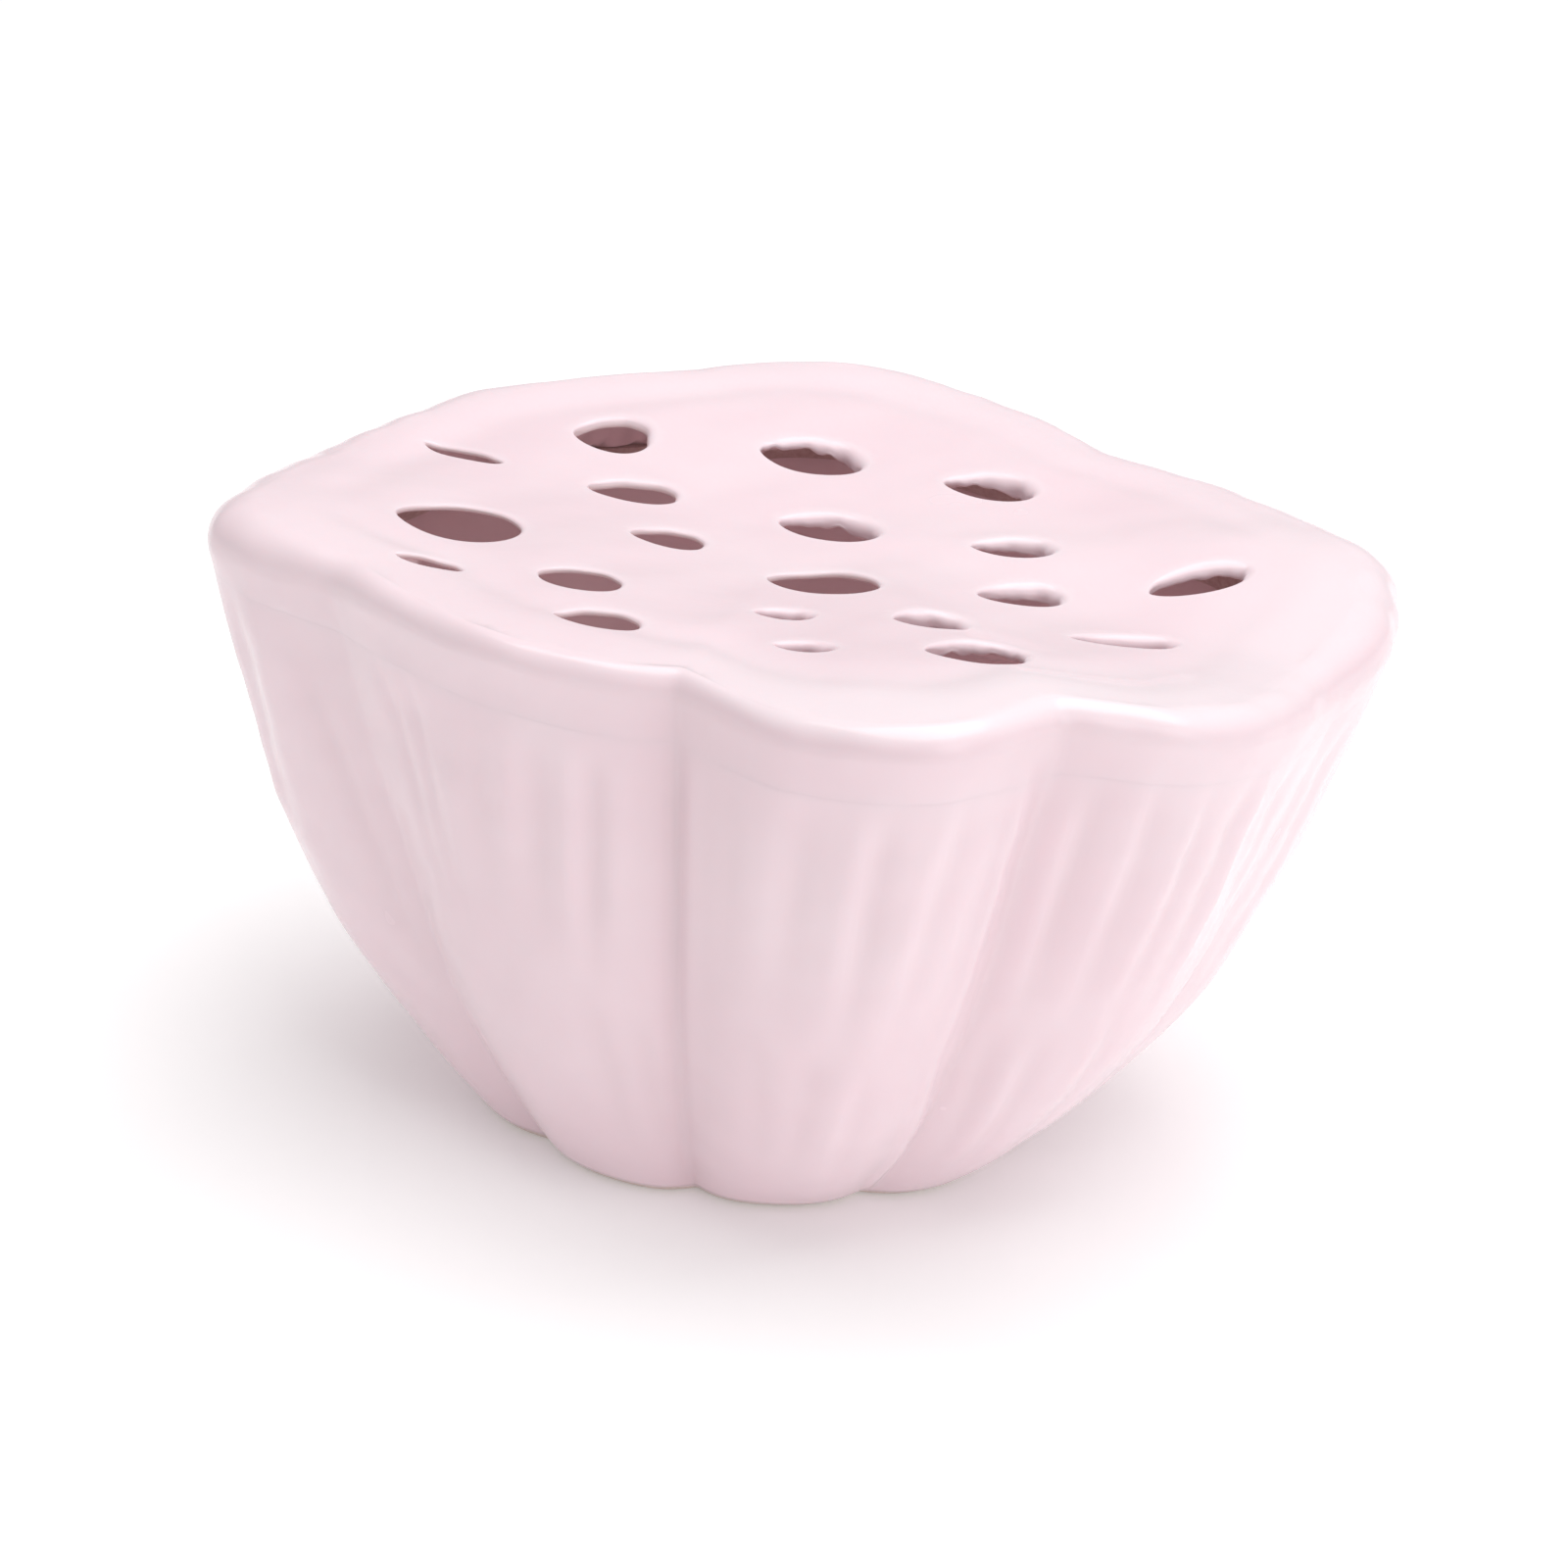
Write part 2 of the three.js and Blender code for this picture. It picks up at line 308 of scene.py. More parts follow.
def around(points, angle, column=1):
    """A value on a smooth closed curve through points of (angle, value, ...), in order of angle."""
    table = np.array(points, float)
    knots = np.concatenate([[table[-1, 0] - 360], table[:, 0], table[:2, 0] + 360])
    values = np.concatenate([[table[-1, column]], table[:, column], table[:2, column]])
    turned = (np.asarray(angle, float) - knots[1]) % 360 + knots[1]
    last = np.clip(np.searchsorted(knots, turned, side="right") - 1, 1, len(table))
    before, start, end, after = (values[last + step] for step in (-1, 0, 1, 2))
    span = knots[last + 1] - knots[last]
    share = (turned - knots[last]) / span
    slope_start = span * (end - before) / (knots[last + 1] - knots[last - 1])
    slope_end = span * (after - start) / (knots[last + 2] - knots[last])
    bow = share * share * (3 - 2 * share)
    pull = share * (1 - share)
    return start + (end - start) * bow + pull * ((1 - share) * slope_start - share * slope_end)


def smooth(value, low, high):
    share = np.clip((value - low) / (high - low), 0, 1)
    return share * share * (3 - 2 * share)


def lerp(start, end, share):
    return start + (end - start) * share


def angle_between(first, second):
    return (first - second + 180) % 360 - 180


def flare(share):
    """How far the wall has flared from foot (0) to lip (1), at a share of its height."""
    return 0.5 * share + 0.5 * (1 - (1 - share) ** 4)


def round_radius(height):
    return lerp(FOOT_RADIUS, RIM_RADIUS, flare(np.clip(height / LIP_HEIGHT, 0, 1)))


def flute_depth(angle, share):
    """How far the flutes press the wall in."""
    depth = np.zeros(np.broadcast(angle, share).shape)
    for rim_angle, foot_angle, rim_depth, foot_depth, width in FLUTES:
        middle = lerp(foot_angle, rim_angle, share**0.7)
        deep = lerp(foot_depth, rim_depth, share**1.5)
        depth += deep * np.exp(-np.abs(angle_between(angle, middle) / width) ** 1.3)
    return depth


def stretch_of(angle, height):
    """How much wider or narrower the bent pod is than the round one."""
    share = np.clip(height / LIP_HEIGHT, 0, 1)
    reach = lerp(around(FOOT, angle), around(RIM, angle), flare(share))
    return (reach - flute_depth(angle, share)) / round_radius(height)


def lift_of(radius, angle):
    """How much higher or lower the bent pod is than the round one."""
    return lerp(1, around(RIM, angle, 2) / RIM_HEIGHT, smooth(radius, 0, RIM_RADIUS))


def bend(radius, angle, height):
    """Points of the bent pod, in millimetres, from radius, angle and height on the round pod."""
    radius, angle, height = np.broadcast_arrays(radius, angle, height)
    stretch = stretch_of(angle, height)
    lean = 1 - flare(np.clip(height / LIP_HEIGHT, 0, 1))
    x = radius * stretch * np.cos(np.radians(angle)) + FOOT_OFFSET[0] * lean + SHIFT[0]
    y = radius * stretch * np.sin(np.radians(angle)) + FOOT_OFFSET[1] * lean + SHIFT[1]
    return np.stack([x, y, height * lift_of(radius, angle)], -1)


def centring_shift():
    """The move that puts the middle of the bent pod's box over the origin, as in the CAD part."""
    angle = np.arange(0, 360, 0.5)
    reach = RIM_RADIUS * stretch_of(angle, LIP_HEIGHT)
    x = reach * np.cos(np.radians(angle))
    y = reach * np.sin(np.radians(angle))
    return -(x.min() + x.max()) / 2, -(y.min() + y.max()) / 2


SHIFT = centring_shift()


def lumps(points, wavelength, seed):
    """Smooth unevenness of about -1 to 1 at points in millimetres, as a sum of seeded waves."""
    random = np.random.default_rng(seed)
    count = 14
    directions = random.normal(size=(count, 3))
    directions /= np.linalg.norm(directions, axis=1)[:, None]
    directions *= 2 * math.pi / wavelength * random.uniform(0.7, 1.4, (count, 1))
    phases = random.uniform(0, 2 * math.pi, count)
    return np.sin(points @ directions.T + phases).sum(-1) / math.sqrt(count)


def unevenness(points, layers):
    """The sum of layers of lumps, each of a height, a wavelength and a seed."""
    return sum(height * lumps(points, wavelength, seed) for height, wavelength, seed in layers)


def back_pleats():
    """Pleats for the part of the wall that FRONT_PLEATS leaves bare."""
    random = np.random.default_rng(BACK_SEED)
    pleats = []
    for number in range(BACK_PLEATS):
        angle = lerp(*BACK_ANGLES, (number + random.uniform(0.2, 0.8)) / BACK_PLEATS)
        drift = random.uniform(-5, 3)
        top = random.uniform(0.95, 1.1)
        bottom = random.uniform(0.05, 0.45)
        depth = random.uniform(0.3, 0.5)
        width = random.uniform(1.4, 2.2)
        pleats.append((angle, angle + drift, top, bottom, depth, width))
        beside = RIDGE_OFFSET * width
        pleats.append((angle + beside, angle + drift + beside, top, bottom, -RIDGE_SHARE * depth, width))
    return pleats


PLEATS = FRONT_PLEATS + back_pleats()


def pleat_depth(angle, share):
    """How far the pleats press the wall in."""
    depth = np.zeros(np.broadcast(angle, share).shape)
    for top_angle, foot_angle, top, bottom, deep, width in PLEATS:
        along = np.clip((share - bottom) / (top - bottom), 0, 1)
        middle = lerp(foot_angle, top_angle, along)
        fade = smooth(along, 0, 0.55) * (1 - smooth(along, 0.75, 1))
        depth += deep * fade * np.exp(-np.abs(angle_between(angle, middle) / width) ** 1.8)
    return depth


class Clay:
    """Collects the points and faces of one closed piece, in millimetres."""

    def __init__(self):
        self.points = []
        self.faces = []
        self.pools = []
        self.count = 0

    def add(self, points, pool=0.0):
        """Adds points, with the pool of glaze on them, and gives their numbers."""
        points = np.asarray(points, float).reshape(-1, 3)
        numbers = np.arange(self.count, self.count + len(points))
        self.points.append(points)
        self.pools.append(np.broadcast_to(pool, (len(points),)).astype(float))
        self.count += len(points)
        return numbers

    def band(self, lower, upper):
        """Faces between two closed rings of as many points, the second above or inside the first."""
        quads = np.stack([lower, np.roll(lower, -1), np.roll(upper, -1), upper], -1)
        self.faces.extend(quads.tolist())

    def bands(self, rings):
        """Bands between each ring and the next."""
        for lower, upper in zip(rings, rings[1:]):
            self.band(lower, upper)

    def fan(self, ring, centre):
        """Faces that close a ring at one point."""
        ends = np.broadcast_to(centre, ring.shape)
        self.faces.extend(np.stack([ring, np.roll(ring, -1), ends], -1).tolist())

    def piece(self, name, material):
        """The finished object, named and with one material."""
        mesh = bpy.data.meshes.new(name)
        mesh.from_pydata((np.concatenate(self.points) * MM).tolist(), [], self.faces)
        mesh.validate()
        pool = mesh.attributes.new("pool", "FLOAT", "POINT")
        pool.data.foreach_set("value", np.concatenate(self.pools))
        mesh.shade_smooth()
        mesh.set_sharp_from_angle(angle=math.radians(SHARP_ANGLE))
        mesh.materials.append(material)
        made = bpy.data.objects.new(name, mesh)
        bpy.context.scene.collection.objects.link(made)
        return made


def column_angles():
    return np.arange(COLUMNS) * 360 / COLUMNS - 180


def ring_of(clay, radius, height, pool=0.0):
    """One ring of the bent pod."""
    return clay.add(bend(radius, column_angles(), height), pool)


def wall_relief(angle, height):
    """How far the pleats press the wall in, and how far it is uneven; both fade out at the foot and lip."""
    pleats = pleat_depth(angle, height / LIP_HEIGHT) * smooth(height, *PLEATS_START)
    pleats *= 1 - smooth(height, *PLEATS_END)
    plain = bend(round_radius(height), angle, height)
    fade = smooth(height, *UNEVEN_START) * (1 - smooth(height, *UNEVEN_END))
    return pleats, fade * unevenness(plain, WALL_LUMPS)


def groove_pool_and_shade(angle, height, pleats, flutes=1):
    """How deep the glaze lies in the pleats and in a share of the flutes, which darkens them partly as
    painted shade.
    """
    in_flutes = POOL_AND_SHADE_IN_FLUTES * flutes * flute_depth(angle, height / LIP_HEIGHT)
    return np.clip(POOL_AND_SHADE_IN_PLEATS * pleats + in_flutes, 0, 1)


def wall_ring(clay, height):
    """One ring of the fluted and pleated outside wall."""
    angle = column_angles()
    pleats, uneven = wall_relief(angle, height)
    # Deep glaze in the pleats and flutes, darker partly as painted shade.
    pool = groove_pool_and_shade(angle, height, pleats)
    return clay.add(bend(round_radius(height) - pleats + uneven, angle, height), pool)


def make_cup(material):
    """The cup, in rings from under its floor, up the outside, over the edge and down to the floor."""
    clay = Clay()
    bottom = clay.add([(FOOT_OFFSET[0] + SHIFT[0], FOOT_OFFSET[1] + SHIFT[1], FOOT_RECESS)])[0]
    ring_inside = FOOT_RADIUS - FOOT_RING

    # The recess under the floor, with its rounded corner, and the foot ring.
    rings = [ring_of(clay, radius, FOOT_RECESS) for radius in (5, 11, 17, 22, ring_inside - 2.4)]
    for turn in np.radians([15, 35, 55, 75]):
        across = ring_inside - 2 + 1.8 * math.sin(turn)
        rings.append(ring_of(clay, across, FOOT_RECESS * math.cos(turn)))
    foot_ring = (ring_inside + 0.3, FOOT_RADIUS - 4, FOOT_RADIUS - 2, FOOT_RADIUS - 1.1)
    rings += [ring_of(clay, radius, 0) for radius in foot_ring]
    foot_edge = ((-0.5, 0.1), (0, 0.32), (0.4, 0.62), (0.6, 0.85))
    rings += [ring_of(clay, FOOT_RADIUS + out, height) for out, height in foot_edge]

    # The outside wall, then the face that the plate is luted to.
    for height in np.concatenate([np.linspace(1, 12, 22), np.linspace(12.7, JOINT_HEIGHT, 72)]):
        rings.append(wall_ring(clay, height))
    for inset in (WALL * 0.3, WALL):
        rings.append(ring_of(clay, round_radius(JOINT_HEIGHT) - inset, JOINT_HEIGHT))

    # The inside wall, the cove at its foot and the floor, whose glaze is painted paler and given a painted
    # glow.
    cove_top = FLOOR_TOP + COVE_HEIGHT
    for height in np.linspace(JOINT_HEIGHT - 1, cove_top + 1, 24):
        rings.append(ring_of(clay, round_radius(height) - WALL, height, INSIDE))
    cove_width = round_radius(cove_top) - WALL - FLOOR_RADIUS
    for turn in np.radians([90, 72, 54, 36, 18, 0]):
        across = FLOOR_RADIUS + cove_width * math.sin(turn)
        rings.append(ring_of(clay, across, cove_top - COVE_HEIGHT * math.cos(turn), INSIDE))
    rings += [ring_of(clay, radius, FLOOR_TOP, INSIDE) for radius in (20, 13, 6)]

    middle = bend(0, 0, FLOOR_TOP)
    top = clay.add(middle, INSIDE)[0]
    clay.fan(rings[0][::-1], bottom)
    clay.bands(rings)
    clay.fan(rings[-1], top)
    return clay.piece("glazed_cup", material)


def plan_to_round(points):
    """Radius and angle on the round pod of points on the plate."""
    x = points[:, 0] - SHIFT[0]
    y = points[:, 1] - SHIFT[1]
    angle = np.degrees(np.arctan2(y, x))
    return np.hypot(x, y) / stretch_of(angle, np.full(len(x), LIP_HEIGHT)), angle


def dish(radius):
    """Height of the round plate's top: a shallow dish that levels out at the crest of the rim."""
    share = np.clip(radius / DISH_EDGE, 0, 1)
    return RIM_HEIGHT - DISH_DEPTH * (1 - share**2) ** 1.5


def top_height(points):
    """Height of the plate's top, with the unevenness of hand-worked clay."""
    radius, angle = plan_to_round(points)
    inside = 1 - smooth(radius, GROOVE_RADIUS, DISH_EDGE)
    flat = np.column_stack([points[:, 0], points[:, 1], np.zeros(len(points))])
    uneven = inside * unevenness(flat, TOP_LUMPS)
    groove = GROOVE_DEPTH * np.exp(-(((radius - GROOVE_RADIUS) / GROOVE_WIDTH) ** 2)) * inside
    return dish(radius) * lift_of(radius, angle) + uneven - groove


def top_pool_and_highlight(points):
    """How thin the glaze lies on the plate's top: it runs off the rim, and its paler colour there is partly
    a painted highlight.
    """
    radius, angle = plan_to_round(points)
    return -around(RIM_GLAZE_AND_HIGHLIGHT, angle) * smooth(radius, 44, DISH_EDGE)


def under_height(points):
    """Height of the plate's underside, which drops to the seat that the wall and the coil meet."""
    radius, angle = plan_to_round(points)
    thickness = np.full(len(points), float(PLATE))
    for hole in STEM_HOLES:
        thickness = np.minimum(thickness, hole.depth.mean() + THINNING * hole.place(points)[0])
    seat_edge = round_radius(JOINT_HEIGHT) - WALL - COIL
    seat = smooth(radius, seat_edge - SEAT_SLOPE, seat_edge)
    return lerp(top_height(points) - thickness, JOINT_HEIGHT * lift_of(radius, angle), seat)


class Hole:
    """One stem hole: an oval mouth with a blunt point to the left, which rolls into the bore."""

    def __init__(self, number, x, y, length, width, slant, depth, right_deeper, ragged, worn):
        self.centre = np.array([x + SHIFT[0], y + SHIFT[1]])
        self.half = np.array([length / 2, width / 2])
        self.slant = math.radians(slant)
        self.turn = np.arange(HOLE_COLUMNS) * 2 * math.pi / HOLE_COLUMNS
        random = np.random.default_rng(100 + number)
        chips = ragged * self.waves(random, (5, 8, 11, 15))
        wobble = self.waves(random, (2, 3, 4))
        self.depth = depth * (1 + DEPTH_WOBBLE * wobble) + right_deeper * np.cos(self.turn) + chips
        self.chips = CHIPS_IN_PLAN * chips
        # Ragged bores take deep glaze, darker partly as painted shade; the others take the inside's glaze,
        # painted paler and glowing.
        self.bore_pool = POOL_AND_SHADE_IN_RAGGED_BORES if ragged else INSIDE
        facing = np.cos(self.turn + self.slant - math.radians(FAR_MOUTH_ANGLE))
        self.mouth = lerp(NEAR_MOUTH, worn, smooth(facing, -0.7, 1))
        self.mouth *= 1 + MOUTH_WOBBLE * self.waves(random, (3, 5, 7))
        self.roll_depth = np.minimum(MOUTH_ROLL * self.mouth, self.depth - EDGE_ROUND - BORE)
        point = ((1 + np.cos(self.turn)) / 2 + 0.04) ** HOLE_POINT
        across = np.sin(self.turn) * point
        across /= across.max()
        self.edge = np.column_stack([np.cos(self.turn) * self.half[0], across * self.half[1]])
        self.edge *= 1 + EDGE_WOBBLE * wobble[:, None]
        along = np.roll(self.edge, -1, 0) - np.roll(self.edge, 1, 0)
        self.outward = np.column_stack([along[:, 1], -along[:, 0]])
        self.outward /= np.linalg.norm(self.outward, axis=1)[:, None]

    def waves(self, random, orders):
        """A seeded closed wave of about -1 to 1 round the hole."""
        total = np.zeros(HOLE_COLUMNS)
        for order in orders:
            total += random.uniform(0.5, 1) * np.sin(order * self.turn + random.uniform(0, 2 * math.pi))
        return total / len(orders)

    def ring(self, distance):
        """Plan points at a distance outside the mouth's edge."""
        turned = np.array(Matrix.Rotation(self.slant, 2))
        flat = self.edge + self.outward * np.reshape(distance, (-1, 1))
        return flat @ turned.T + self.centre

    def place(self, points):
        """How far plan points lie outside the hole's oval, and their turn round it."""
        turned = (points[:, :2] - self.centre) @ np.array(Matrix.Rotation(self.slant, 2))
        share = np.hypot(*(turned / self.half).T)
        distance = np.hypot(*turned.T) * (1 - 1 / np.maximum(share, 0.01))
        turn = np.arctan2(turned[:, 1] / self.half[1], turned[:, 0] / self.half[0])
        return distance, turn

    def near(self, points, margin):
        """Which plan points are within a margin, given for each turn round the hole, of its edge."""
        distance, turn = self.place(points)
        return distance < np.interp(turn, self.turn, margin, period=2 * math.pi)


def scattered(edge, spacing, margins):
    """Plan points on a staggered grid inside a closed edge and outside the rings round the holes."""
    low = edge.min(0)
    high = edge.max(0)
    rows = []
    step = spacing * math.sqrt(3) / 2
    for number, y in enumerate(np.arange(low[1], high[1], step)):
        x = np.arange(low[0] + spacing / 2 * (number % 2), high[0], spacing)
        rows.append(np.column_stack([x, np.full(len(x), y)]))
    points = np.concatenate(rows)
    middle = np.array(SHIFT)
    turn = np.arctan2(*(points - middle).T[::-1])
    edge_turn = np.arctan2(*(edge - middle).T[::-1])
    order = np.argsort(edge_turn)
    reach = np.hypot(*(edge - middle).T)[order]
    limit = np.interp(turn, edge_turn[order], reach, period=2 * math.pi)
    keep = np.hypot(*(points - middle).T) < limit - 0.6 * spacing
    for hole, margin in zip(STEM_HOLES, margins):
        keep &= ~hole.near(points, margin + 0.6 * spacing)
    return points[keep]


def sheet(clay, edge_numbers, ring_numbers, margins, height, spacing, upward):
    """Covers the plate from its edge ring to the rings round the holes with one smooth sheet."""
    points = np.concatenate(clay.points)
    edge = points[edge_numbers, :2]
    rings = [points[ring, :2] for ring in ring_numbers]
    inner = scattered(edge, spacing, margins)
    inner_pool = top_pool_and_highlight(inner) if upward else INSIDE
    inner_numbers = clay.add(np.column_stack([inner, height(inner)]), inner_pool)
    plan = np.concatenate([edge, *rings, inner])
    numbers = np.concatenate([edge_numbers, *ring_numbers, inner_numbers])
    borders = []
    start = 0
    for ring in (edge, *rings):
        span = np.arange(len(ring))
        borders += np.column_stack([span + start, (span + 1) % len(ring) + start]).tolist()
        start += len(ring)
    made = delaunay_2d_cdt([Vector(place) for place in plan], borders, [], 0, 1e-5)
    source = np.array([origin[0] for origin in made[3]])
    triangles = source[np.array(made[2])]
    centres = plan[triangles].mean(1)
    keep = inside_ring(centres, edge)
    for ring in rings:
        keep &= ~inside_ring(centres, ring)
    triangles = triangles[keep]
    first, second, third = (plan[triangles[:, corner]] for corner in range(3))
    along = second - first
    across = third - first
    anticlockwise = along[:, 0] * across[:, 1] - along[:, 1] * across[:, 0] > 0
    flip = anticlockwise != upward
    triangles[flip] = triangles[flip][:, ::-1]
    clay.faces.extend(numbers[triangles].tolist())


def inside_ring(points, ring):
    """Which plan points lie inside a closed ring."""
    inside = np.zeros(len(points), bool)
    x, y = points.T
    for (x0, y0), (x1, y1) in zip(ring, np.roll(ring, -1, 0)):
        crosses = (y0 > y) != (y1 > y)
        with np.errstate(divide="ignore", invalid="ignore"):
            at = x0 + (y - y0) / (y1 - y0) * (x1 - x0)
        inside ^= crosses & (x < at)
    return inside


STEM_HOLES = [Hole(number, *sizes) for number, sizes in enumerate(HOLES)]


def bore_rings(clay, hole):
    """The rings of one hole, from the mouth's rim on the top to its outlet in the underside."""
    rings = []

    # The mouth rolls over into the bore.
    for turn in np.radians([0, 13, 26, 39, 52, 65, 78, 90]):
        plan = hole.ring(-hole.mouth * math.sin(turn))
        height = top_height(plan) - hole.roll_depth * (1 - math.cos(turn))
        # Thin glaze on the lip, paler partly as a painted highlight, turns into the bore's glaze down the
        # roll.
        pool = lerp(POOL_AND_HIGHLIGHT_ON_MOUTHS, hole.bore_pool, math.sin(turn) ** 4)
        rings.append(clay.add(np.column_stack([plan, height]), pool))

    # The straight bore, its rounded lower edge and the outlet.
    bore = -hole.mouth
    start = top_height(hole.ring(bore)) - hole.roll_depth
    low = top_height(hole.ring(bore)) - hole.depth + EDGE_ROUND
    for share in (0.33, 0.67, 1):
        plan = hole.ring(bore + hole.chips * share)
        rings.append(clay.add(np.column_stack([plan, lerp(start, low, share)]), hole.bore_pool))
    for turn in np.radians([30, 60, 90]):
        plan = hole.ring(bore + hole.chips + EDGE_ROUND * (1 - math.cos(turn)))
        rings.append(clay.add(np.column_stack([plan, low - EDGE_ROUND * math.sin(turn)]), INSIDE))
    plan = hole.ring(bore + OUTLET)
    rings.append(clay.add(np.column_stack([plan, under_height(plan)]), INSIDE))
    return rings


def make_plate(material):
    """The seed plate: a rolled rim round a pierced dish."""
    clay = Clay()
    angle = column_angles()

    # The seat on the wall, from the inside out.
    outside = round_radius(JOINT_HEIGHT)
    seat = np.linspace(outside - WALL - 1, outside, 5)
    rings = [ring_of(clay, radius, JOINT_HEIGHT, INSIDE) for radius in seat[:-1]]

    # The rim goes on from the wall at the wall's own slope, then rolls over to its crest.
    roll = around(ROLL, angle)
    lean = (outside - round_radius(JOINT_HEIGHT - 0.1)) / 0.1
    tilt = math.atan(lean)
    start = RIM_HEIGHT - roll - roll * math.sin(tilt)
    centre = outside + lean * (start - JOINT_HEIGHT) - roll * math.cos(tilt)
    profile = []
    for share in np.linspace(0, 1, 6)[:-1]:
        height = lerp(JOINT_HEIGHT, start, share)
        profile.append((outside + lean * (height - JOINT_HEIGHT), height))
    for turn in np.linspace(-tilt, math.pi / 2, 28):
        profile.append((centre + roll * math.cos(turn), RIM_HEIGHT - roll + roll * math.sin(turn)))
    for number, (across, height) in enumerate(profile):
        plain = bend(across, angle, height)
        fade = math.sin(math.pi * number / (len(profile) - 1)) ** 0.5
        uneven = fade * unevenness(plain, RIM_LUMPS)
        out = np.clip((across - centre) / roll, 0, 1)
        up = np.clip((height - RIM_HEIGHT + roll) / roll, 0, 1)
        pleats, wall_uneven = wall_relief(angle, height)
        # Deep glaze in the pleats and flutes below the crest, darker partly as painted shade.
        pool = groove_pool_and_shade(angle, LIP_HEIGHT, pleats, 1 - up)
        # Thinner glaze over the crest, paler partly as a painted highlight.
        pool -= around(RIM_GLAZE_AND_HIGHLIGHT, angle) * smooth(up, 0.3, 1)
        moved = across - pleats + wall_uneven + uneven * out
        rings.append(clay.add(bend(moved, angle, height + uneven * up), pool))
    clay.bands(rings)

    # The holes, and the sheets over the top and the underside that join them to the rim.
    holes = [bore_rings(clay, hole) for hole in STEM_HOLES]
    for hole_rings in holes:
        clay.bands(hole_rings)
    mouths = [hole_rings[0] for hole_rings in holes]
    outlets = [hole_rings[-1] for hole_rings in holes]
    mouth_margins = [np.zeros(HOLE_COLUMNS)] * len(STEM_HOLES)
    outlet_margins = [OUTLET - hole.mouth for hole in STEM_HOLES]
    sheet(clay, rings[-1], mouths, mouth_margins, top_height, TOP_SPACING, True)
    sheet(clay, rings[0], outlets, outlet_margins, under_height, UNDER_SPACING, False)
    return clay.piece("glazed_seed_plate", material)


def make_coil(material):
    """The luting coil in the corner under the plate, pressed back where a stem hole passes it."""
    clay = Clay()
    angle = column_angles()
    corner = round_radius(COIL_TOP) - WALL - JOINT_FILM
    wall_slope = (round_radius(COIL_TOP) - round_radius(COIL_TOP - COIL)) / COIL
    outline = [
        (corner - COIL * wall_slope, COIL_TOP - COIL),
        (corner - COIL * wall_slope / 2, COIL_TOP - COIL / 2),
        (corner, COIL_TOP),
        (corner - COIL / 2, COIL_TOP),
    ]
    for turn in np.radians(np.linspace(0, 82, 9)):
        deep = COIL * math.sin(turn)
        outline.append((corner - COIL * math.cos(turn) - deep * wall_slope, COIL_TOP - deep))
    rings = []
    for radius, height in outline:
        points = bend(radius, angle, height)
        anchor = bend(corner - COIL_ANCHOR, angle, COIL_TOP - COIL_ANCHOR)
        press = np.clip(COIL_PRESS + unevenness(points, COIL_LUMPS), 0, 1)
        points = lerp(points, anchor, press[:, None])
        for hole in STEM_HOLES:
            for _ in range(COIL_STEPS):
                blocked = hole.place(points)[0] < COIL_GAP
                points[blocked] = lerp(points[blocked], anchor[blocked], COIL_STEP)
        rings.append(clay.add(points))
    clay.bands(rings + rings[:1])
    return clay.piece("luting_coil_clay", material)


def shader(name):
    """A new node material, with a helper that adds nodes, its Principled shader and its links."""
    material = bpy.data.materials.new(name)
    material.use_nodes = True
    nodes = material.node_tree.nodes
    links = material.node_tree.links

    def node(kind, inputs=(), **settings):
        made = nodes.new(kind)
        for key, value in settings.items():
            setattr(made, key, value)
        for key, value in dict(inputs).items():
            if isinstance(value, bpy.types.NodeSocket):
                links.new(value, made.inputs[key])
            else:
                made.inputs[key].default_value = value
        return made

    return material, node, nodes["Principled BSDF"], links


def mixed(node, factor, first, second, data_type="RGBA"):
    """The output of a new mix of two colours or, with data_type FLOAT, of two numbers."""
    inputs = {"Factor": factor, "A": first, "B": second}
    return node("ShaderNodeMix", inputs, data_type=data_type).outputs["Result"]


def tinted(node, factor, stops):
    """The colour output of a new ramp between two stops of position and colour."""
    ramp = node("ShaderNodeValToRGB", {"Fac": factor})
    for element, (position, colour) in zip(ramp.color_ramp.elements, stops):
        element.position = position
        element.color = colour
    return ramp.outputs["Color"]


